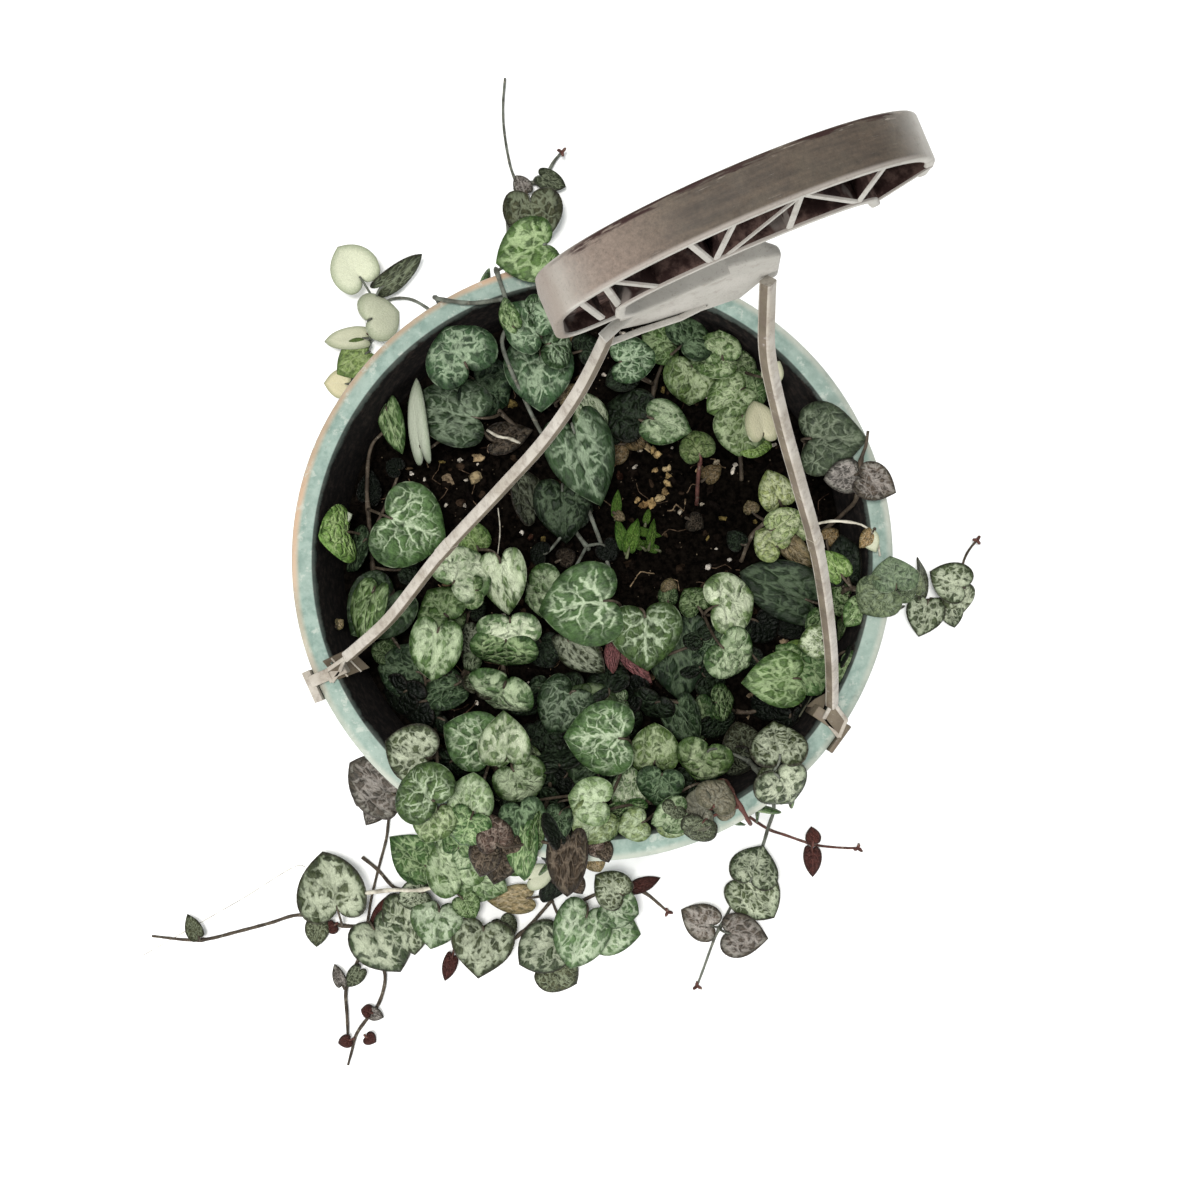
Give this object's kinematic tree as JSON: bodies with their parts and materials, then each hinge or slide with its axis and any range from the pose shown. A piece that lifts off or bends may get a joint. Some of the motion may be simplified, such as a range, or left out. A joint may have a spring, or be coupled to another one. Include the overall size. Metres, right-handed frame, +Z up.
{
  "type": "potted string of hearts",
  "caption": "Trailing plant with heart-shaped leaves in a round tapered pot with a clip-on hanger and hook, standing with its stems laid on the surface.",
  "frame": {"origin": "middle of the pot's flat foot, on the surface that it stands on", "axes": "+Z up through the pot; +Y to the pot's back, where the hook leans; +X to the right, where the hook's tip points"},
  "size_m": [0.2557, 0.3058, 0.3114],
  "materials": {
    "pot": "weathered satin teal plastic, bleached at the lip",
    "soil": "dark peaty potting soil",
    "hanger": "aged beige plastic",
    "leaf": "satin fleshy leaf, dark green with a silver net"
  },
  "bodies": {
    "root": {"pot": "pot", "soil": "soil", "hanger_hook": "hanger", "hanger_arm_left": "hanger", "hanger_arm_right": "hanger", "hanger_arm_back": "hanger", "vine_upper_left": "leaf", "vine_top": "leaf", "vine_left": "leaf", "vine_middle_left": "leaf", "vine_centre": "leaf", "vine_centre_back": "leaf", "vine_upper": "leaf", "vine_upper_middle": "leaf", "shoot_upper_right": "leaf", "vine_upper_right": "leaf", "shoot_right": "leaf", "vine_right_tendril": "leaf", "vine_middle_right": "leaf", "vine_right_centre": "leaf", "vine_right_inner": "leaf", "vine_right_trailing": "leaf", "vine_lower_right": "leaf", "vine_front_right": "leaf", "runner_front_right": "leaf", "vine_lower_middle": "leaf", "vine_lower_middle_left": "leaf", "vine_lower_left": "leaf", "vine_left_lower": "leaf", "vine_trailing_left": "leaf", "vine_trailing_front_left": "leaf", "vine_trailing_front": "leaf"}
  },
  "joints": []
}
